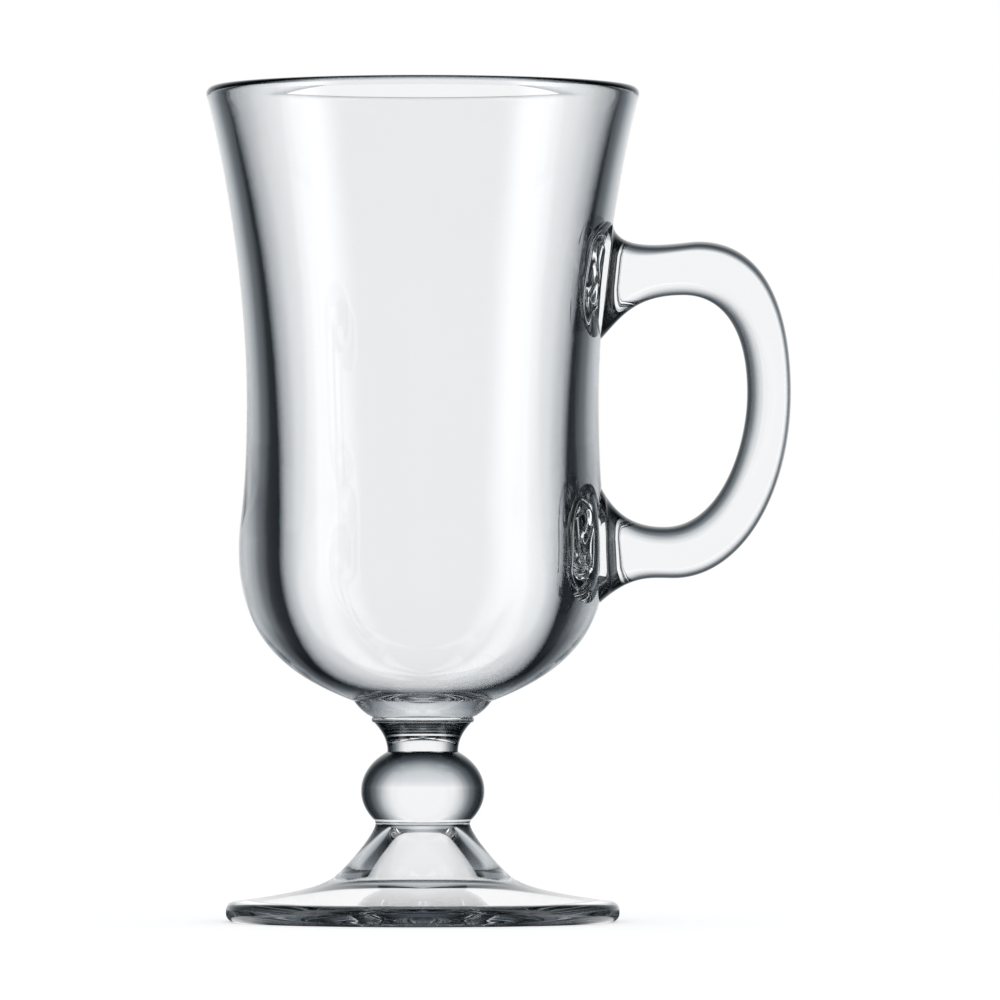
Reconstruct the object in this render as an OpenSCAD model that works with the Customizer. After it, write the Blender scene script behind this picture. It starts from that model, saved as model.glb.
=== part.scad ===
// Irish coffee glass mug: a clear glass bowl on a knopped stem and a spreading foot, with one loop handle.
// Millimetres. The bowl's axis is Z, the mug stands on Z = 0 and the handle is on the +X side.

/* [Foot] */
// Widest radius of the foot
foot_r = 34.4; // [32:0.1:38]
// Height of the foot, from the table to the seal under the knop
foot_h = 17.9; // [15.1:0.1:20.5]
// Thickness of the foot at its edge
foot_edge_h = 3.6; // [3.2:0.1:4.6]
// Rounding of the foot's edge, above and below
foot_edge_round = 1.5; // [0.8:0.1:1.6]
// Depth of the groove around the foot's throat, inwards from the seal under the knop
throat_in = 0.3; // [0.1:0.05:0.5]
// Drop from the seal under the knop to the narrowest place of the throat
throat_drop = 0.7; // [0.5:0.1:1]
// Radius at which the foot's cone turns into its disc
instep_r = 15.2; // [13.5:0.1:17]
// Height at which the foot's cone turns into its disc
instep_h = 8.1; // [7.4:0.1:9]
// Glass thickness between the top of the hollow and the seal under the knop
crown_t = 2.3; // [2:0.1:5]
// Radius of the hollow's flat top
hollow_top_r = 4; // [3:0.1:4.8]
// Inner radius of the ring that the mug stands on
hollow_r = 30; // [26:0.1:30.2]

/* [Knop] */
// Widest radius of the knop
knop_r = 10.8; // [9.6:0.1:13]
// Half the height that the knop's oval would have if it were whole
knop_half_h = 8.3; // [7:0.1:10]
// Radius of the seal between knop and foot
foot_seal_r = 8.6; // [7.8:0.1:9.4]
// Radius of the seal between knop and neck
neck_seal_r = 6.2; // [5:0.1:7.6]

/* [Neck] */
// Height of the neck, from the knop to the merese
neck_h = 5.1; // [4:0.1:8]
// Radius of the neck at its top
neck_top_r = 8.5; // [7.8:0.1:9.4]

/* [Merese] */
// Height of the merese, from the neck to the bowl
merese_h = 3.7; // [3:0.1:6]
// Thickness of the bead around the merese's lower edge
merese_bead_t = 1; // [0.6:0.1:1.4]
// Radius of the seal between merese and bowl
bowl_seal_r = 12; // [10.6:0.1:14]

/* [Bowl] */
// Height of the bowl, from its seal to the rim
bowl_h = 107.5; // [98:0.5:120]
// Outer radius of the bowl's belly
belly_r = 32.2; // [31.4:0.1:35]
// Height of the belly above the bowl's seal
belly_h = 26.3; // [24:0.1:29]
// Outer radius of the bowl's waist
waist_r = 30.8; // [30:0.1:33]
// Height of the waist above the bowl's seal
waist_h = 52.5; // [48:0.1:57]
// Outer radius of the rim
rim_r = 37.9; // [35:0.1:41]
// Wall thickness at the rim
rim_wall = 3.2; // [2.8:0.1:4]
// Rounding of the rim, inside and outside
rim_round = 1.3; // [0.8:0.1:1.38]
// Lean of the wall at the rim, in degrees from upright
rim_lean = 15; // [8:1:20]
// Radius of the straight lower part of the inside
well_r = 25.3; // [23:0.1:27]
// Thickness of the bowl's floor in its middle, above the seal
floor_t = 1.8; // [1.2:0.1:7]
// Height of the rounded bottom of the inside
well_round_h = 24; // [20:0.1:28]
// Height of the straight part above the rounded bottom
well_straight_h = 8; // [4:0.5:16]

/* [Handle] */
// Width of the handle, from side to side
handle_w = 12; // [10:0.1:14]
// Reach of the handle, from the bowl's waist to its outermost point
handle_reach = 33.6; // [30:0.1:40]
// Thickness of the handle at its outermost point
grip_t = 7.7; // [7.7:0.1:9]
// Height of the outermost point above the bowl's seal
grip_h = 54; // [51:0.1:57]
// Rise from the outermost point to the top of the upper arm
arm_rise = 26.3; // [24:0.1:29]
// Drop from the outermost point to the underside of the lower arm
arm_drop = 32.5; // [30:0.1:34]
// Thickness of the upper arm
upper_arm_t = 9.4; // [8:0.1:10.4]
// Thickness of the lower arm
lower_arm_t = 9; // [8:0.1:10.4]
// Height of each pad where it is sealed to the bowl
pad_h = 20; // [17:0.1:22]
// Width of each pad where it is sealed to the bowl
pad_w = 18; // [15:0.1:20]
// Distance from the bowl at which a pad's sides begin to spread
pad_spread = 3; // [2:0.1:4]
// How far the upper pad's middle lies below the upper arm's middle
upper_pad_drop = 2.4; // [1:0.1:3.4]
// How far the lower pad's middle lies above the lower arm's middle
lower_pad_lift = 1.2; // [0:0.1:2.4]
// Depth of the handle's domed outer side at its outermost point
grip_outer_dome = 1.5; // [1:0.1:1.9]
// Depth of the handle's domed inner side at its outermost point
grip_inner_dome = 5.7; // [4:0.1:5.7]
// Depth of the handle's domed outer side along its arms
arm_outer_dome = 2.3; // [1.5:0.1:3.4]
// Depth of the handle's domed inner side along its arms
arm_inner_dome = 4; // [3:0.1:4.5]

/* [Hidden] */
$fn = 96;
glass = [0.86, 0.92, 0.91, 0.4];

// Straight steps that each curve is divided into, and those of a small rounded edge
curve_steps = 12;
edge_steps = 5;

// Heights of the seals, from the table up
knop_below = knop_half_h * sqrt(1 - pow(foot_seal_r / knop_r, 2));
knop_above = knop_half_h * sqrt(1 - pow(neck_seal_r / knop_r, 2));
knop_middle_z = foot_h + knop_below;
neck_z = knop_middle_z + knop_above;
merese_z = neck_z + neck_h;
bowl_z = merese_z + merese_h;
rim_z = bowl_z + bowl_h;
well_z = bowl_z + floor_t;

// A point on a curve that leaves p and arrives at q, pulled towards the middle points a and b
function bend(p, a, b, q, t) =
    pow(1 - t, 3) * p + 3 * t * pow(1 - t, 2) * a + 3 * t * t * (1 - t) * b + pow(t, 3) * q;

function aim(angle) = [cos(angle), sin(angle)];

// A point on a curve from p to q, with its direction at each end and its pull there as a share of the span
function along(p, q, aims, pulls, t) =
    let (span = norm(q - p))
    bend(p, p + pulls[0] * span * aim(aims[0]), q - pulls[1] * span * aim(aims[1]), q, t);

function curve(p, q, aims, pulls) = [for (i = [0:curve_steps]) along(p, q, aims, pulls, i / curve_steps)];

function arc(middle, r, from, to) =
    [for (i = [0:edge_steps]) middle + r * aim(from + (to - from) * i / edge_steps)];

// The points after the first, for joining a curve to the end of another
function after_first(points) = [for (i = [1:len(points) - 1]) points[i]];

module turned(points) {
    rotate_extrude()
        polygon(points);
}

// Foot: a cone that spreads from a throat into a disc with a rounded edge, hollow underneath.
// Each of its curves has its directions in degrees and its pulls, at its start and at its end.
groove_aims = [180 + atan2(knop_half_h * foot_seal_r / knop_r, knop_r * knop_below / knop_half_h), 270];
groove_pulls = [0.35, 0.35];
cone_aims = [-90, -43];
cone_pulls = [0.12, 0.43];
disc_aims = [-43, -7];
disc_pulls = [0.14, 0.55];
hollow_aims = [170, 126];
hollow_pulls = [0.5, 0.25];
disc_normal = 90 + disc_aims[1];
hollow_h = foot_h - crown_t;

module foot() {
    seal = [foot_seal_r, foot_h];
    throat = seal - [throat_in, throat_drop];
    instep = [instep_r, instep_h];
    edge = [foot_r - foot_edge_round, foot_edge_h - foot_edge_round];
    upper_edge = arc(edge, foot_edge_round, disc_normal, 0);
    lower_edge = arc([edge[0], foot_edge_round], foot_edge_round, 0, -90);
    groove = curve(seal, throat, groove_aims, groove_pulls);
    cone = curve(throat, instep, cone_aims, cone_pulls);
    disc = curve(instep, upper_edge[0], disc_aims, disc_pulls);
    hollow = curve([hollow_r, 0], [hollow_top_r, hollow_h], hollow_aims, hollow_pulls);
    outside = concat(groove, after_first(cone), after_first(disc), after_first(upper_edge), lower_edge);
    color(glass)
        turned(concat([[0, foot_h]], outside, hollow, [[0, hollow_h]]));
}

// Knop: a solid flattened ball, cut flat where it is sealed to the foot and to the neck
module knop() {
    from = -asin(knop_below / knop_half_h);
    to = asin(knop_above / knop_half_h);
    steps = 2 * curve_steps;
    oval = [
        for (i = [0:steps])
            let (a = from + (to - from) * i / steps)
            [knop_r * cos(a), knop_middle_z + knop_half_h * sin(a)]
    ];
    color(glass)
        turned(concat([[0, foot_h]], oval, [[0, neck_z]]));
}

// Neck: a solid cove that widens upwards from the knop
neck_aims = [92, 48];
neck_pulls = [0.45, 0.2];

module neck() {
    side = curve([neck_seal_r, neck_z], [neck_top_r, merese_z], neck_aims, neck_pulls);
    color(glass)
        turned(concat([[0, neck_z]], side, [[0, merese_z]]));
}

// Merese: a solid flared button with a bead around its lower edge, which carries the bowl
bead_end = 60;
merese_aims = [20, 56];
merese_pulls = [0.3, 0.3];

module merese() {
    bead_r = merese_bead_t / 2;
    bead = arc([neck_top_r, merese_z + bead_r], bead_r, -90, bead_end);
    side = curve(bead[edge_steps], [bowl_seal_r, bowl_z], merese_aims, merese_pulls);
    color(glass)
        turned(concat([[0, merese_z]], bead, after_first(side), [[0, bowl_z]]));
}

// Bowl: thick at the belly, drawn in at the waist and flared to a rounded rim
belly = [belly_r, bowl_z + belly_h];
waist = [waist_r, bowl_z + waist_h];
rim_out = [rim_r - rim_round, rim_z - rim_round];
rim_in = [rim_r - rim_wall + rim_round, rim_z - rim_round];
rim_outer = arc(rim_out, rim_round, -rim_lean, 90);
rim_inner = arc(rim_in, rim_round, 90, 180 - rim_lean);
base_aims = [21, 90];
base_pulls = [0.36, 0.48];
side_aims = [90, 90];
side_pulls = [0.23, 0.68];
flare_aims = [90, 90 - rim_lean];
flare_pulls = [0.3, 0.3];
bowl_base = curve([bowl_seal_r, bowl_z], belly, base_aims, base_pulls);
bowl_side = curve(belly, waist, side_aims, side_pulls);
bowl_flare = curve(waist, rim_outer[0], flare_aims, flare_pulls);
bowl_outside = concat(bowl_base, after_first(bowl_side), after_first(bowl_flare));

inner_flare_aims = [270 - rim_lean, 270];
inner_flare_pulls = [0.27, 0.45];
inner_base_aims = [270, 180];
inner_base_pulls = [0.48, 0.39];

module bowl() {
    straight_from = [well_r, well_z + well_round_h];
    straight_to = straight_from + [0, well_straight_h];
    flare = curve(rim_inner[edge_steps], straight_to, inner_flare_aims, inner_flare_pulls);
    base = curve(straight_from, [0, well_z], inner_base_aims, inner_base_pulls);
    rim = concat(after_first(rim_outer), rim_inner);
    color(glass)
        turned(concat([[0, bowl_z]], bowl_outside, rim, after_first(flare), base));
}

// The bowl's outer radius at a height
function bowl_r(z) = lookup(z, [for (p = bowl_outside) [p[1], p[0]]]);

// Handle: an oval loop, flatter outside, whose two arms spread into pads sealed to the bowl's wall
grip_z = bowl_z + grip_h;
upper_top_z = grip_z + arm_rise;
lower_low_z = grip_z - arm_drop;
upper_pad_z = upper_top_z - upper_arm_t / 2 - upper_pad_drop;
lower_pad_z = lower_low_z + lower_arm_t / 2 + lower_pad_lift;

// A point at a share of the handle's reach
function out_at(share, z) = [waist_r + share * handle_reach, z];

function on_wall(z) = [bowl_r(z), z];

// Shares of the handle's reach at which each arm's outer line and inner line are level
upper_outer_share = 0.52;
upper_inner_share = 0.44;
lower_outer_share = 0.39;
lower_inner_share = 0.34;

// The loop's outer line and inner line, each as four curves from the upper pad round to the lower pad
outer_ends = [
    on_wall(upper_pad_z + pad_h / 2),
    out_at(upper_outer_share, upper_top_z),
    out_at(1, grip_z),
    out_at(lower_outer_share, lower_low_z),
    on_wall(lower_pad_z - pad_h / 2)
];
inner_ends = [
    on_wall(upper_pad_z - pad_h / 2),
    out_at(upper_inner_share, upper_top_z - upper_arm_t),
    out_at(1, grip_z) - [grip_t, 0],
    out_at(lower_inner_share, lower_low_z + lower_arm_t),
    on_wall(lower_pad_z + pad_h / 2)
];
outer_aims = [-80, 0, -90, -180, -138];
inner_aims = [48, 0, -90, -180, -241];
outer_pulls = [[0.36, 0.2], [0.36, 0.5], [0.49, 0.29], [0.31, 0.55]];
inner_pulls = [[0.33, 0.51], [0.34, 0.54], [0.35, 0.35], [0.48, 0.33]];

function line_at(ends, aims, pulls, k, t) =
    along(ends[k], ends[k + 1], [aims[k], aims[k + 1]], pulls[k], t);

// Each station is the curve it lies on and its share along it, closer together beside the pads.
// The first and the last lie a small share beyond their curves, inside the bowl's wall.
pad_crowding = 1.7;
pad_overrun = 0.02;
pad_shares = [
    for (i = [0:curve_steps]) (1 + pad_overrun) * pow(i / curve_steps, pad_crowding) - pad_overrun
];
upper_stations = [for (share = pad_shares) [0, share]];
loop_stations = [for (k = [1:2], i = [1:curve_steps]) [k, i / curve_steps]];
lower_stations = [for (i = [1:curve_steps]) [3, 1 - pad_shares[curve_steps - i]]];
stations = concat(upper_stations, loop_stations, lower_stations);

// How far a section whose middle is at p has spread, from 0 along the arms to 1 at the wall
function spread_at(p) =
    let (near = 1 - min(1, max(0, (p[0] - bowl_r(p[1])) / pad_spread)))
    1 - sqrt(1 - near * near);

// Half a round of radius 1, from one side over its top at 0 to the other side
half_round = concat(arc([1, 0], 1, 90, 180), after_first(arc([1, 0], 1, 180, 270)));

// The handle's outline where it is t thick: shares of t out from the inner line, and of the width across
function outline(t, outer_dome, inner_dome) = concat(
    [for (p = half_round) [1 - outer_dome / t * p[0], -p[1] / 2]],
    [for (p = half_round) [inner_dome / t * p[0], p[1] / 2]]
);

grip_outline = outline(grip_t, grip_outer_dome, grip_inner_dome);
arm_outline = outline(upper_arm_t, arm_outer_dome, arm_inner_dome);

// A section between the inner line at p and the outer line at q, from 0 like the grip to 1 like the arms
function section(p, q, width, like_arm) =
    let (shares = (1 - like_arm) * grip_outline + like_arm * arm_outline)
    [for (c = shares) let (at = p + c[0] * (q - p)) [at[0], c[1] * width, at[1]]];

function ease(t) = t * t * (3 - 2 * t);

function like_arm_at(s) = s[0] == 1 ? 1 - ease(s[1]) : s[0] == 2 ? ease(s[1]) : 1;

function station_section(s) =
    let (
        p = line_at(inner_ends, inner_aims, inner_pulls, s[0], s[1]),
        q = line_at(outer_ends, outer_aims, outer_pulls, s[0], s[1]),
        width = handle_w + (pad_w - handle_w) * spread_at((p + q) / 2)
    )
    section(p, q, width, like_arm_at(s));

// The pads run this far into the bowl's outline before they are cut to its wall
pad_sink = 10;

module handle_loop() {
    sunk = [-pad_sink, 0];
    first = section(inner_ends[0] + sunk, outer_ends[0] + sunk, pad_w, 1);
    last = section(inner_ends[4] + sunk, outer_ends[4] + sunk, pad_w, 1);
    rings = concat([first], [for (s = stations) station_section(s)], [last]);
    size = len(first);
    count = len(rings);
    sides = [
        for (k = [0:count - 2], i = [0:size - 1])
            let (
                a = k * size + i,
                b = k * size + (i + 1) % size
            )
            each [[a, b, a + size], [b, b + size, a + size]]
    ];
    start_cap = [for (i = [0:size - 1]) size - 1 - i];
    end_cap = [for (i = [0:size - 1]) (count - 1) * size + i];
    polyhedron([for (r = rings) each r], concat([start_cap], sides, [end_cap]));
}

module handle() {
    color(glass)
        difference() {
            handle_loop();
            turned(concat([[0, bowl_z]], bowl_outside, [[0, rim_outer[0][1]]]));
        }
}

foot();
knop();
neck();
merese();
bowl();
handle();
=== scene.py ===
from math import asin, atan2, cos, pi, radians, sin, sqrt

import bpy
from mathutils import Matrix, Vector
from mathutils.geometry import interpolate_bezier


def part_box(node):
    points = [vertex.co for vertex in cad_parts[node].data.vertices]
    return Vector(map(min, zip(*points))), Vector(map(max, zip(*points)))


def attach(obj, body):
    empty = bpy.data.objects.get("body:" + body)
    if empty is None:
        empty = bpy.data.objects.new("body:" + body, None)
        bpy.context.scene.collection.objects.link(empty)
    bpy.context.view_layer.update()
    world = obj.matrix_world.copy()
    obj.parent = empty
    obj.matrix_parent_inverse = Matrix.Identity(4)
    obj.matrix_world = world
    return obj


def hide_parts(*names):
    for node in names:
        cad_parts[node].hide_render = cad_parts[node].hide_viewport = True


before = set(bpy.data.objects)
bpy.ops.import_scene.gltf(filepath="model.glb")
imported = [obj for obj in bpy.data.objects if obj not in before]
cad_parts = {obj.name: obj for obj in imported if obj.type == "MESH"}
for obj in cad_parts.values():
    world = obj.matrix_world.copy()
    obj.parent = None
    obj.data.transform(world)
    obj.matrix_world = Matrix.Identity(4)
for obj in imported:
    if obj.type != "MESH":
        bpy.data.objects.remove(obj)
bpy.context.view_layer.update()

# Foot: a pressed cone of clear glass that spreads into a round disc with a rounded edge.
# It is hollow underneath and stands on a narrow ring. Its top is fused to the knop.
MM = 0.001
foot_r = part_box("foot")[1].x
foot_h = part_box("foot")[1].z
foot_edge_h = 3.6 * MM
foot_edge_round = 1.5 * MM
foot_seal_r = 8.6 * MM
throat_r = 8.3 * MM
groove_h = 0.7 * MM
instep = Vector((15.2, 8.1)) * MM
hollow_r = 30 * MM
hollow_top_r = 4 * MM
crown_t = 2.3 * MM
groove_aims = (225, 270)
groove_pulls = (0.35, 0.35)
cone_aims = (-90, -43)
cone_pulls = (0.12, 0.43)
disc_aims = (-43, -7)
disc_pulls = (0.14, 0.55)
hollow_aims = (170, 126)
hollow_pulls = (0.5, 0.25)
CURVE_STEPS = 40
EDGE_STEPS = 12
TURN_STEPS = 192
SHARP_EDGE = radians(40)
SAME_POINT = 1e-6


def aim(angle):
    """The direction at an angle in degrees, in the plane of a profile."""
    return Vector((cos(radians(angle)), sin(radians(angle))))


def pulled(start, end, aims, pulls):
    """The two points that pull a curve, from its direction at each end and shares of its span."""
    span = (end - start).length
    leave = start + aim(aims[0]) * pulls[0] * span
    arrive = end - aim(aims[1]) * pulls[1] * span
    return leave, arrive


def bend(start, end, aims, pulls):
    """A curve between two points, in short straight steps."""
    start = Vector(start)
    end = Vector(end)
    leave, arrive = pulled(start, end, aims, pulls)
    return interpolate_bezier(start, leave, arrive, end, CURVE_STEPS + 1)


def arc(middle, radius, first, last):
    """A round stretch of an outline, between two angles in degrees."""
    turn = (last - first) / EDGE_STEPS
    return [Vector(middle) + radius * aim(first + turn * i) for i in range(EDGE_STEPS + 1)]


def draw_line(name, points):
    """A new object in edit mode, with one line drawn through the points by extruding a vertex."""
    bpy.ops.object.select_all(action="DESELECT")
    bpy.ops.mesh.primitive_plane_add(size=1)
    piece = bpy.context.object
    piece.name = name
    bpy.ops.object.mode_set(mode="EDIT")
    bpy.ops.mesh.select_all(action="SELECT")
    bpy.ops.mesh.merge(type="CENTER")
    bpy.ops.transform.translate(value=points[0])
    for here, after in zip(points, points[1:]):
        bpy.ops.mesh.extrude_region_move(TRANSFORM_OT_translate={"value": after - here})
    return piece


def turned(name, profile):
    """A closed piece spun about the mug's axis from (radius, height) points, from axis to axis."""
    points = [Vector((r, 0, z)) for r, z in profile]
    kept = [points[0]]
    for point in points[1:]:
        if (point - kept[-1]).length > SAME_POINT:
            kept.append(point)
    piece = draw_line(name, kept)
    bpy.ops.mesh.select_all(action="SELECT")
    bpy.ops.mesh.spin(steps=TURN_STEPS, angle=2 * pi, center=(0, 0, 0), axis=(0, 0, 1))
    bpy.ops.mesh.select_all(action="SELECT")
    bpy.ops.mesh.remove_doubles(threshold=SAME_POINT)
    bpy.ops.mesh.normals_make_consistent(inside=False)
    bpy.ops.object.mode_set(mode="OBJECT")
    bpy.ops.object.shade_smooth_by_angle(angle=SHARP_EDGE)
    return piece


class Look:
    """One socket of a node tree: sums on it add Math nodes, and node() adds any other node."""

    def __init__(self, tree, socket=None):
        self.tree = tree
        self.socket = socket

    def node(self, kind, settings, inputs, output=0):
        made = self.tree.nodes.new(kind)
        for name, setting in settings.items():
            if name == "stops":
                self.set_stops(made.color_ramp, setting)
            else:
                setattr(made, name, setting)
        for name, given in inputs.items():
            if isinstance(given, Look):
                self.tree.links.new(given.socket, made.inputs[name])
            else:
                made.inputs[name].default_value = given
        return Look(self.tree, made.outputs[output] if made.outputs else None)

    def set_stops(self, ramp, stops):
        while len(ramp.elements) < len(stops):
            ramp.elements.new(1)
        for element, (place, level) in zip(ramp.elements, stops):
            element.position = place
            element.color = (level, level, level, 1)

    def outputs(self, *names):
        """The named sockets of the node that this socket is on."""
        return [Look(self.tree, self.socket.node.outputs[name]) for name in names]

    def math(self, operation, first, second=0):
        return self.node("ShaderNodeMath", {"operation": operation}, {0: first, 1: second})

    def __add__(self, other):
        return self.math("ADD", self, other)

    def __radd__(self, other):
        return self.math("ADD", other, self)

    def __sub__(self, other):
        return self.math("SUBTRACT", self, other)

    def __rsub__(self, other):
        return self.math("SUBTRACT", other, self)

    def __mul__(self, other):
        return self.math("MULTIPLY", self, other)

    def __rmul__(self, other):
        return self.math("MULTIPLY", other, self)

    def __truediv__(self, other):
        return self.math("DIVIDE", self, other)

    def __pow__(self, other):
        return self.math("POWER", self, other)


def new_finish(name):
    """An empty material and the Look that adds nodes to it."""
    finish = bpy.data.materials.new(name)
    finish.use_nodes = True
    finish.node_tree.nodes.clear()
    return finish, Look(finish.node_tree)


def level_at(look, share, stops, full=1):
    """The level at a share of a full size, from stops that each give a size and its level."""
    places = [(size / full, level) for size, level in stops]
    ramp = look.node("ShaderNodeValToRGB", {"stops": places}, {"Fac": share})
    return look.node("ShaderNodeRGBToBW", {}, {"Color": ramp})


def mixed(look, factor, first, second, blend="MIX"):
    """One colour from two. The Mix node finds its colour sockets by number."""
    first_colour = 6
    second_colour = 7
    result_colour = 2
    settings = {"data_type": "RGBA", "blend_type": blend}
    given = {"Factor": factor, first_colour: first, second_colour: second}
    return look.node("ShaderNodeMix", settings, given, result_colour)


def parts_of(look, way):
    """The X, Y and Z of a place or a direction."""
    return look.node("ShaderNodeSeparateXYZ", {}, {"Vector": way}).outputs("X", "Y", "Z")


def place_on(look):
    """The place on a piece, in its own coordinates."""
    return look.node("ShaderNodeTexCoord", {}, {}, "Object")


glass_ior = 1.5
pale_tint = (0.972, 0.98, 0.992, 1)
clear_tint = (0.982, 0.988, 0.996, 1)
# How painted shade on the glass darkens each channel: red most and blue least, so it is cooler.
painted_shade_powers = {"Red": 2.12, "Green": 2, "Blue": 1.92}
haze_grain = 4 * MM
haze_most = 0.012


def clear_glass(name, ripple, ripple_depth, painted_shade=None):
    """Clear soda-lime glass with the slow ripples of a pressed and fire polished surface.

    A painted shade darkens the base colour where light enters the glass. Where it is dark it is also
    cooler.
    """
    finish, look = new_finish(name)
    place = place_on(look)
    swell = look.node("ShaderNodeTexNoise", {}, {"Vector": place, "Scale": 1 / ripple, "Detail": 1})
    haze = look.node("ShaderNodeTexNoise", {}, {"Vector": place, "Scale": 1 / haze_grain, "Detail": 4})
    relief = look.node("ShaderNodeBump", {}, {"Height": swell, "Strength": 1, "Distance": ripple_depth})
    tint = mixed(look, swell, pale_tint, clear_tint)
    if painted_shade:
        # The painted shade: 1 leaves the glass clear, and less paints it darker.
        clear = painted_shade(look)
        shares = {part: clear ** power for part, power in painted_shade_powers.items()}
        tint = mixed(look, 1, tint, look.node("ShaderNodeCombineColor", {}, shares), "MULTIPLY")
    sockets = {
        "Base Color": tint,
        "Roughness": haze_most * haze,
        "IOR": glass_ior,
        "Transmission Weight": 1,
        "Normal": relief,
    }
    glass = look.node("ShaderNodeBsdfPrincipled", {}, sockets)
    look.node("ShaderNodeOutputMaterial", {}, {"Surface": glass})
    return finish


WHITE = (1, 1, 1, 1)
fused, fused_look = new_finish("fused_seam")
unseen = fused_look.node("ShaderNodeBsdfTransparent", {}, {"Color": WHITE})
fused_look.node("ShaderNodeOutputMaterial", {}, {"Surface": unseen})


def finish_turned(piece, glass, seal_heights):
    """Gives a turned piece its glass, and marks the flat faces where it is fused to its neighbours."""
    piece.data.materials.append(glass)
    piece.data.materials.append(fused)
    for face in piece.data.polygons:
        level = abs(face.normal.z) > cos(SHARP_EDGE)
        at_seal = any(abs(face.center.z - z) < SAME_POINT for z in seal_heights)
        face.material_index = 1 if level and at_seal else 0


def light_enters(look):
    """1 where light enters the glass, and 0 where it leaves."""
    return 1 - look.node("ShaderNodeNewGeometry", {}, {}, "Backfacing")


foot_ripple = 9 * MM
foot_ripple_depth = 0.02 * MM
# Painted shade on the foot: levels by the share of its radius.
painted_foot_shade_stops = [(0.95, 1), (0.975, 0.5)]


def painted_foot_shade(look):
    """Painted shade on the foot: its glass is darker towards its rim, where light enters it."""
    x, y, z = parts_of(look, place_on(look))
    out = (x * x + y * y) ** 0.5
    return 1 - light_enters(look) * (1 - level_at(look, out / foot_r, painted_foot_shade_stops))


throat = Vector((throat_r, foot_h - groove_h))
edge_middle = Vector((foot_r - foot_edge_round, foot_edge_h - foot_edge_round))
upper_edge = arc(edge_middle, foot_edge_round, 90 + disc_aims[1], 0)
lower_edge = arc((edge_middle.x, foot_edge_round), foot_edge_round, 0, -90)
groove = bend((foot_seal_r, foot_h), throat, groove_aims, groove_pulls)
cone = bend(throat, instep, cone_aims, cone_pulls)
disc = bend(instep, upper_edge[0], disc_aims, disc_pulls)
hollow_top_z = foot_h - crown_t
hollow = bend((hollow_r, 0), (hollow_top_r, hollow_top_z), hollow_aims, hollow_pulls)
foot_outside = groove + cone + disc + upper_edge + lower_edge
foot = turned("foot_glass", [(0, foot_h)] + foot_outside + hollow + [(0, hollow_top_z)])
# The foot's glass carries painted shade towards its rim.
finish_turned(foot, clear_glass("pressed_glass", foot_ripple, foot_ripple_depth, painted_foot_shade), [foot_h])
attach(foot, "root")
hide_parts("foot")

# Knop: a solid flattened ball of clear glass in the middle of the stem.
# It is pressed in one heat with the foot, and fused to it below and to the neck above.
knop_low, knop_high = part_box("knop")
knop_r = knop_high.x
knop_half_h = 8.3 * MM
neck_seal_r = 6.2 * MM
knop_from = -asin(sqrt(1 - (foot_seal_r / knop_r) ** 2))
knop_to = asin(sqrt(1 - (neck_seal_r / knop_r) ** 2))
knop_middle = knop_low.z - knop_half_h * sin(knop_from)
KNOP_STEPS = 2 * CURVE_STEPS
stem_ripple = 12 * MM
stem_ripple_depth = 0.01 * MM
# Painted shade levels for solid glass and the bowl's rim, by how aslant the surface is seen.
painted_edge_shade_stops = [(0.06, 1), (0.13, 0.94), (0.23, 0.6), (0.36, 0.22), (0.5, 0.06), (0.65, 0.03)]
under_share = 0.43


def normal_parts(look):
    """The X, Y and Z of the direction that the surface faces."""
    return parts_of(look, look.node("ShaderNodeNewGeometry", {}, {}, "Normal"))


def aslant(look, **given):
    """How aslant the surface is seen: 0 straight on, and 1 along it."""
    return look.node("ShaderNodeLayerWeight", {}, {"Blend": 0.5, **given}, "Facing")


def painted_solid_shade(look, stops, downward, outward=1):
    """Painted shade on a solid piece: its glass is darker the more aslant its surface is seen.

    Its underside and its outer side bend light less, and count as less aslant by these shares.
    """
    x, y, z = normal_parts(look)
    x = x - (1 - outward) * look.math("MAXIMUM", x, 0)
    z = z - (1 - downward) * look.math("MINIMUM", z, 0)
    lie = look.node("ShaderNodeCombineXYZ", {}, {"X": x, "Y": y, "Z": z})
    lie = look.node("ShaderNodeVectorMath", {"operation": "NORMALIZE"}, {0: lie})
    return 1 - light_enters(look) * (1 - level_at(look, aslant(look, Normal=lie), stops))


def painted_stem_shade(look):
    """Painted shade on the solid glass of the stem, darker where it is seen aslant."""
    return painted_solid_shade(look, painted_edge_shade_stops, under_share)


oval = []
for step in range(KNOP_STEPS + 1):
    angle = knop_from + (knop_to - knop_from) * step / KNOP_STEPS
    oval.append((knop_r * cos(angle), knop_middle + knop_half_h * sin(angle)))
knop_seals = [oval[0][1], oval[-1][1]]
knop = turned("knop_glass", [(0, oval[0][1])] + oval + [(0, oval[-1][1])])
# The knop's glass carries painted shade where it is seen aslant.
finish_turned(knop, clear_glass("knop_glass", stem_ripple, stem_ripple_depth, painted_stem_shade), knop_seals)
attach(knop, "root")
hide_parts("knop")

# Neck: a solid cove of clear glass that widens upwards from the knop to the merese.
# It is drawn in while hot, and fused to both.
neck_low, neck_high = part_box("neck")
neck_top_r = neck_high.x
neck_seals = [neck_low.z, neck_high.z]
neck_aims = (92, 48)
neck_pulls = (0.45, 0.2)
cove = bend((neck_seal_r, neck_low.z), (neck_top_r, neck_high.z), neck_aims, neck_pulls)
neck = turned("neck_glass", [(0, neck_low.z)] + cove + [(0, neck_high.z)])
# The neck's glass carries painted shade where it is seen aslant.
finish_turned(neck, clear_glass("neck_glass", stem_ripple, stem_ripple_depth, painted_stem_shade), neck_seals)
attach(neck, "root")
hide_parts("neck")

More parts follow.
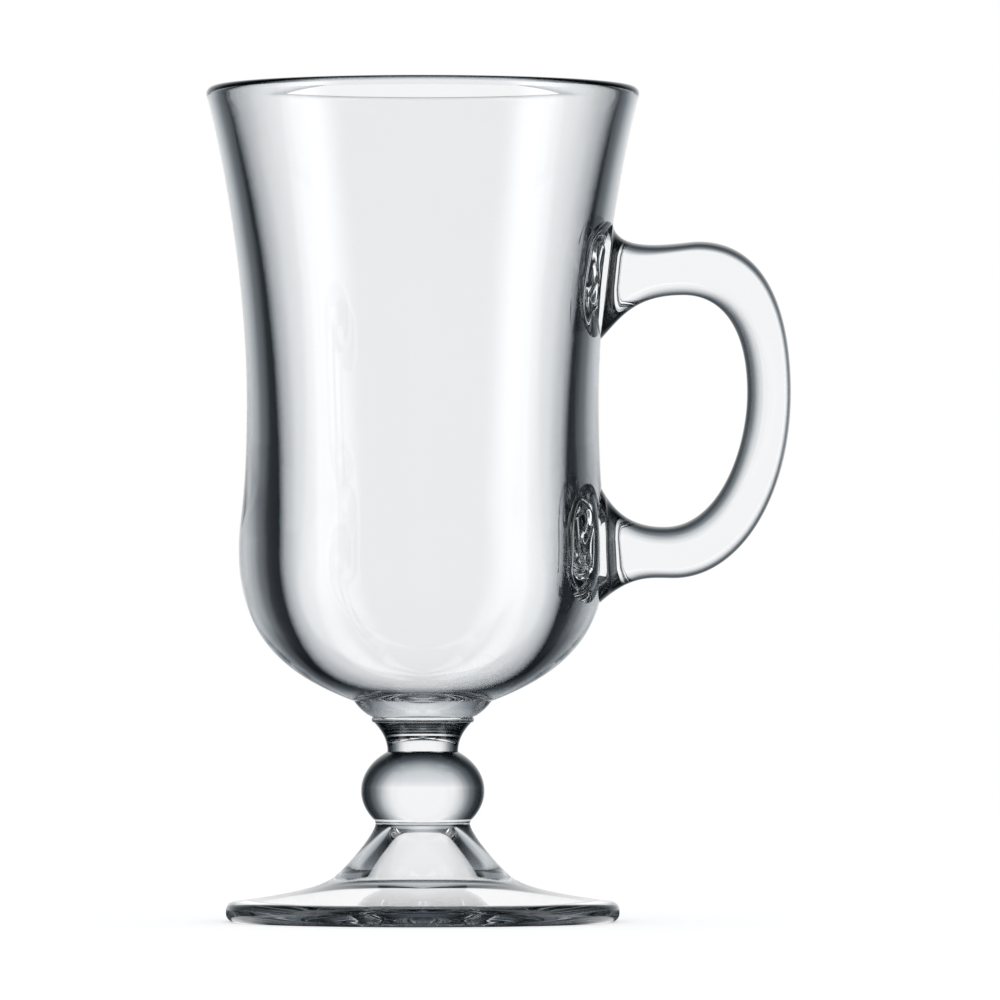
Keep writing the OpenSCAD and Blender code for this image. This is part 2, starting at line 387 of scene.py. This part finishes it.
# Merese: a solid flared button of clear glass with a bead round its lower edge.
# It is fused to the neck, and carries the bowl on its upper face.
merese_low, merese_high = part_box("merese")
merese_seals = [merese_low.z, merese_high.z]
bead_r = 0.5 * MM
bead_end = 60
bowl_seal_r = merese_high.x
merese_aims = (20, 56)
merese_pulls = (0.3, 0.3)
bead = arc((neck_top_r, merese_low.z + bead_r), bead_r, -90, bead_end)
button = bend(bead[-1], (bowl_seal_r, merese_high.z), merese_aims, merese_pulls)
merese = turned("merese_glass", [(0, merese_low.z)] + bead + button + [(0, merese_high.z)])
finish_turned(merese, clear_glass("merese_glass", stem_ripple, stem_ripple_depth), merese_seals)
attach(merese, "root")
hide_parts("merese")

# Bowl: a thick clear glass vessel, full at the belly, drawn in at the waist and flared to its rim.
# It is blown into a mould, its rim is melted round in a flame, and its base is fused to the merese.
bowl_low, bowl_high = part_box("bowl")
bowl_z = bowl_low.z
rim_z = bowl_high.z
rim_r = bowl_high.x
belly_r = 32.2 * MM
belly_h = 26.3 * MM
waist_r = 30.8 * MM
waist_h = 52.5 * MM
rim_wall = 3.2 * MM
rim_round = 1.3 * MM
rim_lean = 15
well_r = 25.3 * MM
floor_t = 1.8 * MM
well_round_h = 24 * MM
well_straight_h = 8 * MM
base_aims = (21, 90)
base_pulls = (0.36, 0.48)
side_aims = (90, 90)
side_pulls = (0.23, 0.68)
flare_aims = (90, 90 - rim_lean)
flare_pulls = (0.3, 0.3)
inner_flare_aims = (270 - rim_lean, 270)
inner_flare_pulls = (0.27, 0.45)
inner_straight_aims = (270, 270)
inner_straight_pulls = (0.33, 0.33)
inner_base_aims = (270, 180)
inner_base_pulls = (0.48, 0.39)

belly = Vector((belly_r, bowl_z + belly_h))
waist = Vector((waist_r, bowl_z + waist_h))
well_z = bowl_z + floor_t
straight_from = Vector((well_r, well_z + well_round_h))
straight_to = Vector((well_r, straight_from.y + well_straight_h))
rim_outer = arc((rim_r - rim_round, rim_z - rim_round), rim_round, -rim_lean, 90)
rim_inner = arc((rim_r - rim_wall + rim_round, rim_z - rim_round), rim_round, 90, 180 - rim_lean)
bowl_base = bend((bowl_seal_r, bowl_z), belly, base_aims, base_pulls)
bowl_side = bend(belly, waist, side_aims, side_pulls)
bowl_flare = bend(waist, rim_outer[0], flare_aims, flare_pulls)
bowl_wall = bowl_base + bowl_side + bowl_flare
inner_flare = bend(rim_inner[-1], straight_to, inner_flare_aims, inner_flare_pulls)
inner_straight = bend(straight_to, straight_from, inner_straight_aims, inner_straight_pulls)
inner_base = bend(straight_from, (0, well_z), inner_base_aims, inner_base_pulls)
bowl_inside = inner_flare + inner_straight + inner_base
bowl_ripple = 20 * MM
bowl_ripple_depth = 0.02 * MM
# Painted shade levels for the bowl's inside, by how aslant it is seen.
painted_well_shade_stops = [(0.3, 1), (0.5, 0.9), (0.66, 0.69), (0.83, 0.26), (0.91, 0.08), (1, 0.03)]
rim_least_up = 0.25


def painted_bowl_shade(look):
    """Painted shade on the bowl: darker where its inside and its rounded rim are seen aslant."""
    x, y, z = normal_parts(look)
    place_x, place_y, place_z = parts_of(look, place_on(look))
    outside = look.math("GREATER_THAN", x * place_x + y * place_y, 0)
    rim = outside * look.math("GREATER_THAN", z, rim_least_up)
    slant = aslant(look)
    painted_rim_shade = rim * (1 - level_at(look, slant, painted_edge_shade_stops))
    painted_well_shade = (1 - outside) * (1 - level_at(look, slant, painted_well_shade_stops))
    return 1 - light_enters(look) * (painted_rim_shade + painted_well_shade)


bowl = turned("bowl_glass", [(0, bowl_z)] + bowl_wall + rim_outer + rim_inner + bowl_inside)
# The bowl's glass carries painted shade on its inside and its rim.
finish_turned(bowl, clear_glass("blown_glass", bowl_ripple, bowl_ripple_depth, painted_bowl_shade), [bowl_z])
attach(bowl, "root")
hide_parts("bowl")

# Handle: an oval loop of clear glass, flatter outside, drawn from a hot gather and bent by hand.
# Its two ends spread into pads that are fused to the bowl's wall.
handle_low, handle_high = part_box("handle")
handle_w = 12 * MM
pad_w = handle_high.y - handle_low.y
pad_h = 20 * MM
pad_spread = 3 * MM
pad_sink = 10 * MM
pad_bite = 0.05 * MM
grip_t = 7.7 * MM
upper_arm_t = 9.4 * MM
lower_arm_t = 9 * MM
arm_drop = 32.5 * MM
upper_pad_drop = 2.4 * MM
lower_pad_lift = 1.2 * MM
upper_pad_z = handle_high.z - pad_h / 2
lower_pad_z = handle_low.z + pad_h / 2
upper_top_z = upper_pad_z + upper_arm_t / 2 + upper_pad_drop
lower_low_z = lower_pad_z - lower_arm_t / 2 - lower_pad_lift
grip = Vector((handle_high.x, lower_low_z + arm_drop))
grip_outer_dome = 1.5 * MM
grip_inner_dome = 5.7 * MM
arm_outer_dome = 2.3 * MM
arm_inner_dome = 4 * MM
upper_outer_share = 0.52
upper_inner_share = 0.44
lower_outer_share = 0.39
lower_inner_share = 0.34
STATION_STEPS = 40
PAD_CROWDING = 1.7
PAD_OVERRUN = 0.02


def wall_r(z):
    """The bowl's outer radius at a height."""
    for low, high in zip(bowl_wall, bowl_wall[1:]):
        if low.y <= z <= high.y and high.y > low.y:
            return low.x + (high.x - low.x) * (z - low.y) / (high.y - low.y)
    return 0


def on_wall(z):
    """The point of the bowl's wall at a height."""
    return Vector((wall_r(z), z))


def out_at(share, z):
    """A point at a share of the handle's reach from the waist."""
    return Vector((waist.x + share * (grip.x - waist.x), z))


outer_ends = [
    on_wall(upper_pad_z + pad_h / 2),
    out_at(upper_outer_share, upper_top_z),
    grip,
    out_at(lower_outer_share, lower_low_z),
    on_wall(lower_pad_z - pad_h / 2),
]
inner_ends = [
    on_wall(upper_pad_z - pad_h / 2),
    out_at(upper_inner_share, upper_top_z - upper_arm_t),
    grip - Vector((grip_t, 0)),
    out_at(lower_inner_share, lower_low_z + lower_arm_t),
    on_wall(lower_pad_z + pad_h / 2),
]
outer_aims = [-80, 0, -90, -180, -138]
inner_aims = [48, 0, -90, -180, -241]
outer_pulls = [(0.36, 0.2), (0.36, 0.5), (0.49, 0.29), (0.31, 0.55)]
inner_pulls = [(0.33, 0.51), (0.34, 0.54), (0.35, 0.35), (0.48, 0.33)]


def point_along(ends, aims, pulls, t):
    """A point on the curve between two ends, at a share t of the way."""
    start, end = ends
    leave, arrive = pulled(start, end, aims, pulls)
    near = start * (1 - t) ** 3 + leave * 3 * t * (1 - t) ** 2
    return near + arrive * 3 * t * t * (1 - t) + end * t ** 3


def station(k, t):
    """The section at a share t of the loop's curve k: two points, width and likeness to an arm."""
    inner = point_along(inner_ends[k : k + 2], inner_aims[k : k + 2], inner_pulls[k], t)
    outer = point_along(outer_ends[k : k + 2], outer_aims[k : k + 2], outer_pulls[k], t)
    middle = (inner + outer) / 2
    near = 1 - min(1, max(0, (middle.x - wall_r(middle.y)) / pad_spread))
    spread = 1 - sqrt(1 - near * near)
    ease = t * t * (3 - 2 * t)
    like_arm = [1, 1 - ease, ease, 1][k]
    return inner, outer, handle_w + (pad_w - handle_w) * spread, like_arm


def pad_share(t):
    """The share along a pad's curve, closer together near the wall and starting a little inside it."""
    return t ** PAD_CROWDING * (1 + PAD_OVERRUN) - PAD_OVERRUN


sunk = Vector((-pad_sink, 0))
last_curve = len(outer_pulls) - 1
sections = [(inner_ends[0] + sunk, outer_ends[0] + sunk, pad_w, 1)]
for k in range(last_curve + 1):
    for i in range(0 if k == 0 else 1, STATION_STEPS + 1):
        t = i / STATION_STEPS
        if k == 0:
            t = pad_share(t)
        if k == last_curve:
            t = 1 - pad_share(1 - t)
        sections.append(station(k, t))
sections.append((inner_ends[-1] + sunk, outer_ends[-1] + sunk, pad_w, 1))


def middle_of(section):
    """The middle of a section, as a place."""
    middle = (section[0] + section[1]) / 2
    return Vector((middle.x, 0, middle.y))


def lie_of(section):
    """The angle of a section, from its inner point to its outer point, above level."""
    across = section[1] - section[0]
    return atan2(across.y, across.x)


def turn_section(angle, middle):
    """Turns the selected section about Y. With no window the operator turns it the other way."""
    bpy.ops.transform.rotate(value=angle, orient_axis="Y", center_override=middle)


def draw_loop(name, span, outer_dome, inner_dome):
    """The whole loop, from one outline of the given span that is extruded from section to section."""
    half_round = arc((0, 0), 1, 90, 180) + arc((0, 0), 1, 180, 270)[1:]
    half_w = handle_w / 2
    outer = [Vector((span / 2 - outer_dome * (1 + p.x), -half_w * p.y)) for p in half_round]
    outline = outer + [Vector((inner_dome * (1 + p.x) - span / 2, half_w * p.y)) for p in half_round]
    first = sections[0]
    first_middle = middle_of(first)
    span_share = (first[1] - first[0]).length / span
    width_share = first[2] / handle_w
    points = [first_middle + Vector((p.x * span_share, p.y * width_share, 0)) for p in outline]
    loop = draw_line(name, points)
    loop.vertex_groups.new(name="like_arm")
    bpy.ops.mesh.select_all(action="SELECT")
    bpy.ops.mesh.edge_face_add()
    bpy.ops.object.vertex_group_assign()
    turn_section(lie_of(first), first_middle)
    for before, after in zip(sections, sections[1:]):
        middle = middle_of(after)
        step = middle - middle_of(before)
        span_change = (after[1] - after[0]).length / (before[1] - before[0]).length
        bpy.ops.mesh.extrude_region_move(TRANSFORM_OT_translate={"value": step})
        turn_section(-lie_of(before), middle)
        bpy.ops.transform.resize(value=(span_change, after[2] / before[2], 1), center_override=middle)
        turn_section(lie_of(after), middle)
        bpy.context.tool_settings.vertex_group_weight = after[3]
        bpy.ops.object.vertex_group_assign()
    bpy.ops.mesh.select_all(action="SELECT")
    bpy.ops.mesh.normals_make_consistent(inside=False)
    bpy.ops.object.mode_set(mode="OBJECT")
    return loop


handle = draw_loop("handle_glass", grip_t, grip_outer_dome, grip_inner_dome)
arms = draw_loop("arm_shape", upper_arm_t, arm_outer_dome, arm_inner_dome)
bpy.ops.object.select_all(action="DESELECT")
arms.select_set(True)
handle.select_set(True)
bpy.context.view_layer.objects.active = handle
bpy.ops.object.join_shapes()
arm_key = handle.data.shape_keys.key_blocks[-1]
arm_key.vertex_group = "like_arm"
arm_key.value = 1
handle.active_shape_key_index = 1
bpy.ops.object.shape_key_remove(all=True, apply_mix=True)
handle.vertex_groups.clear()
bpy.data.objects.remove(arms)


def cut(piece, tool):
    """Cuts a tool's shape out of a piece. The faces that it leaves keep the tool's material."""
    bpy.ops.object.select_all(action="DESELECT")
    bpy.context.view_layer.objects.active = piece
    piece.select_set(True)
    taken = piece.modifiers.new("cut", "BOOLEAN")
    taken.operation = "DIFFERENCE"
    taken.solver = "EXACT"
    taken.material_mode = "TRANSFER"
    taken.object = tool
    bpy.ops.object.modifier_apply(modifier=taken.name)
    bpy.ops.object.shade_smooth_by_angle(angle=SHARP_EDGE)


handle_ripple = 15 * MM
handle_ripple_depth = 0.01 * MM
# Painted shade levels for the handle, by how aslant its surface is seen.
painted_handle_shade_stops = [(0.06, 1), (0.13, 0.95), (0.23, 0.68), (0.36, 0.3), (0.5, 0.12), (0.8, 0.06)]
outer_side_share = 0.4


def painted_handle_shade(look):
    """Painted shade on the solid glass of the handle, darker where it is seen aslant."""
    return painted_solid_shade(look, painted_handle_shade_stops, under_share, outer_side_share)


# The handle's glass carries painted shade where it is seen aslant.
handle_glass = clear_glass("handle_glass", handle_ripple, handle_ripple_depth, painted_handle_shade)
handle.data.materials.append(handle_glass)
under_wall = [(max(0, p.x - pad_bite), p.y) for p in bowl_wall]
envelope = turned("bowl_envelope", [(0, bowl_z)] + under_wall + [(0, bowl_wall[-1].y)])
envelope.data.materials.append(fused)
cut(handle, envelope)
bpy.data.objects.remove(envelope)
cut(bowl, handle)
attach(handle, "root")
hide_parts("handle")

# Studio: a pale round table in even room light, with a white panel behind the mug.
# Light that the glass turns back or mirrors also meets dark flags beside the panel,
# and two tall strip lights further round that give the long highlights.
HALF_TURN = 180
TABLE_SIDES = 128
table_r = 0.9
table_pale = (0.92, 0.92, 0.92, 1)
table_glow = 0.4
room_level = 0.75
shade_tint = (0.8, 1, 1.15, 1)
shade_power = 0.5

# Levels by the angle in degrees from straight behind the mug, or by height above level.
straight_stops = [(15, 1), (40, 0.88), (66, 0.85), (80, 1)]
straight_lift = [(30, 1), (50, 0.85)]
# Levels of the table's painted sheen, seen through the glass.
painted_sheen_stops = [
    (8, 1),
    (13, 0.94),
    (20, 0.78),
    (28, 0.55),
    (35, 0.29),
    (42, 0.1),
    (48, 0.03),
    (66, 0.02),
    (80, 1),
]
mirrored_stops = [(10, 1), (27, 0.45), (36, 0.15), (45, 0.02), (96, 0.02)]
mirrored_lift = [
    (28, 1),
    (34, 0.82),
    (38, 0.66),
    (42, 0.4),
    (46, 0.14),
    (50, 0.05),
    (62, 0.03),
    (68, 0.35),
    (90, 0.5),
]
turned_back_stops = [
    (4, 0.8),
    (11, 0.6),
    (21, 0.35),
    (29, 0.14),
    (37, 0.09),
    (44, 0.02),
    (70, 0.02),
    (80, 0.6),
    (96, 0.7),
    (104, 0.1),
    (140, 0.05),
]
turned_back_lift = [(24, 1), (30, 0.3), (40, 0.2), (60, 0.1), (68, 0.4), (90, 0.6)]
strip_stops = [(96, 0), (100, 0.8), (108, 1), (116, 0.9), (128, 0)]
strip_level = 1.5

# Levels by the number of times that light is turned back inside the glass.
most_turns = 16
lost_stops = [(3, 1), (5, 0.7), (8, 0.5), (11, 0.4), (14, 0.15)]

# Painted shade on the table, seen only by light through or in the glass: levels by the distance from the
# mug's axis, in metres, darker near the mug.
painted_table_shade_stops = [(0.05, 0.62), (0.1, 0.7), (0.25, 0.86), (0.5, 1)]
near_stops = [(0.045, 1), (0.075, 0)]
painted_close_shade_stops = [(0.03, 0.3), (0.1, 0.45), (0.25, 1)]

# Angles in degrees by how aslant the table is seen through the glass, for its painted sheen: a glow set
# by the slant, not a gloss.
fall_stops = [
    (0.07, 23),
    (0.21, 36),
    (0.36, 42),
    (0.5, 41),
    (0.57, 39),
    (0.67, 33.5),
    (0.76, 29),
    (0.83, 26),
    (0.89, 23),
    (0.93, 20),
    (0.97, 15),
    (1, 8),
]
painted_sheen_corner = 4


def rays(look, extra):
    """The ways that light from the studio can reach the eye: through glass, turned back in it, mirrored.

    The last level is what is left of light that is turned back many times.
    """
    path = look.node("ShaderNodeLightPath", {}, {})
    through, glossy = path.outputs("Is Transmission Ray", "Is Glossy Ray")
    depth, passes = path.outputs("Ray Depth", "Transmission Depth")
    turns = depth - passes - extra
    turned_back = look.math("MINIMUM", turns, 1)
    kept = level_at(look, turns / most_turns, lost_stops, most_turns)
    return through * (1 - turned_back), through * turned_back, glossy * (1 - through), kept


def off_straight(look, x, y):
    """The angle of a direction from straight behind the mug, seen from above, in half turns."""
    return look.math("ARCTAN2", look.math("ABSOLUTE", x), y) / pi


def studio_level(look, panel, side, share, ways, lift, back_lift):
    """What glass shows of the studio in a direction: the panel, the flags and the strip lights."""
    straight, turned_back, mirrored, kept = ways
    strips = level_at(look, share, strip_stops, HALF_TURN) * strip_level
    flags = level_at(look, share, turned_back_stops, HALF_TURN) * back_lift
    mirror = level_at(look, side, mirrored_stops, HALF_TURN) * lift
    return straight * panel + turned_back * kept * (flags + strips) + mirrored * (mirror + strips)


def cool_shade(look, level):
    """The studio's colour at a level: white where it is bright, and cooler where it is dark."""
    return mixed(look, level ** shade_power, shade_tint, WHITE)


bpy.ops.object.select_all(action="DESELECT")
bpy.ops.mesh.primitive_circle_add(vertices=TABLE_SIDES, radius=table_r, fill_type="NGON")
table = bpy.context.object
table.name = "table"
table_top, table_look = new_finish("table_top")
table_place = place_on(table_look)
x, y, z = parts_of(table_look, table_place)
ways = rays(table_look, 0)
share = off_straight(table_look, x, y)
reach = table_look.node("ShaderNodeVectorMath", {"operation": "LENGTH"}, {0: table_place}, "Value")
fall_shares = [(slant, angle / HALF_TURN) for slant, angle in fall_stops]
fall = level_at(table_look, aslant(table_look), fall_shares)
side = (share ** painted_sheen_corner + fall ** painted_sheen_corner) ** (1 / painted_sheen_corner)
near = level_at(table_look, reach, near_stops)
# Painted sheen: the table's glow to glass rays, by side and slant.
painted_sheen = level_at(table_look, side, painted_sheen_stops, HALF_TURN)
# Painted light for the table seen straight through the glass: the painted sheen close to the foot, and
# painted shade by distance further out.
panel = near * painted_sheen + (1 - near) * level_at(table_look, reach, painted_table_shade_stops)
# Painted shade near the mug for light turned back in the glass.
painted_close_shade = level_at(table_look, reach, painted_close_shade_stops)
# To glass rays the table also shows painted reflections of the flags and strip lights.
strength = studio_level(table_look, panel, side, share, ways, 1, painted_close_shade)
pale = table_look.node("ShaderNodeBsdfDiffuse", {}, {"Color": table_pale})
glow = table_look.node("ShaderNodeEmission", {}, {"Color": WHITE, "Strength": table_glow})
lit = table_look.node("ShaderNodeAddShader", {}, {0: pale, 1: glow})
shade = cool_shade(table_look, strength)
# The table glows to light seen through or in the glass instead of being lit: painted light and shade.
painted_glow = table_look.node("ShaderNodeEmission", {}, {"Color": shade, "Strength": strength})
by_glass = ways[0] + ways[1] + ways[2]
top = table_look.node("ShaderNodeMixShader", {}, {0: by_glass, 1: lit, 2: painted_glow})
table_look.node("ShaderNodeOutputMaterial", {}, {"Surface": top})
table.data.materials.append(table_top)

world = bpy.data.worlds.new("studio")
bpy.context.scene.world = world
world.use_nodes = True
world.node_tree.nodes.clear()
sky = Look(world.node_tree)
x, y, z = parts_of(sky, sky.node("ShaderNodeTexCoord", {}, {}, "Generated"))
ways = rays(sky, 1)
seen = sky.node("ShaderNodeLightPath", {}, {}, "Is Camera Ray")
room = 1 - seen - ways[0] - ways[1] - ways[2]
share = off_straight(sky, x, y)
height = sky.math("ARCSINE", z) / pi
lift = level_at(sky, height, mirrored_lift, HALF_TURN)
back_lift = level_at(sky, height, turned_back_lift, HALF_TURN)
panel_lift = level_at(sky, height, straight_lift, HALF_TURN)
panel = level_at(sky, share, straight_stops, HALF_TURN) * panel_lift
strength = seen + room * room_level + studio_level(sky, panel, share, share, ways, lift, back_lift)
back = sky.node("ShaderNodeBackground", {}, {"Color": cool_shade(sky, strength), "Strength": strength})
sky.node("ShaderNodeOutputWorld", {}, {"Surface": back})

# Camera: a long lens, level with the bottom of the bowl and looking a little up.
# Light may pass through the glass many times before it is lost.
lens_distance = 1.7
lens_height = 0.051
view_middle = Vector((0.0135, 0, 0.0737))
glass_bounces = 40
camera_data = bpy.data.cameras.new("camera")
camera = bpy.data.objects.new("camera", camera_data)
bpy.context.scene.collection.objects.link(camera)
camera_data.sensor_width = 36
camera_data.lens = 350
camera.location = (view_middle.x, -lens_distance, lens_height)
camera.rotation_euler = (view_middle - camera.location).to_track_quat("-Z", "Y").to_euler()
bpy.context.scene.camera = camera
bpy.context.scene.view_settings.view_transform = "Standard"
bpy.context.scene.cycles.max_bounces = glass_bounces
bpy.context.scene.cycles.transmission_bounces = glass_bounces
bpy.context.scene.cycles.glossy_bounces = glass_bounces
bpy.context.scene.cycles.transparent_max_bounces = 32
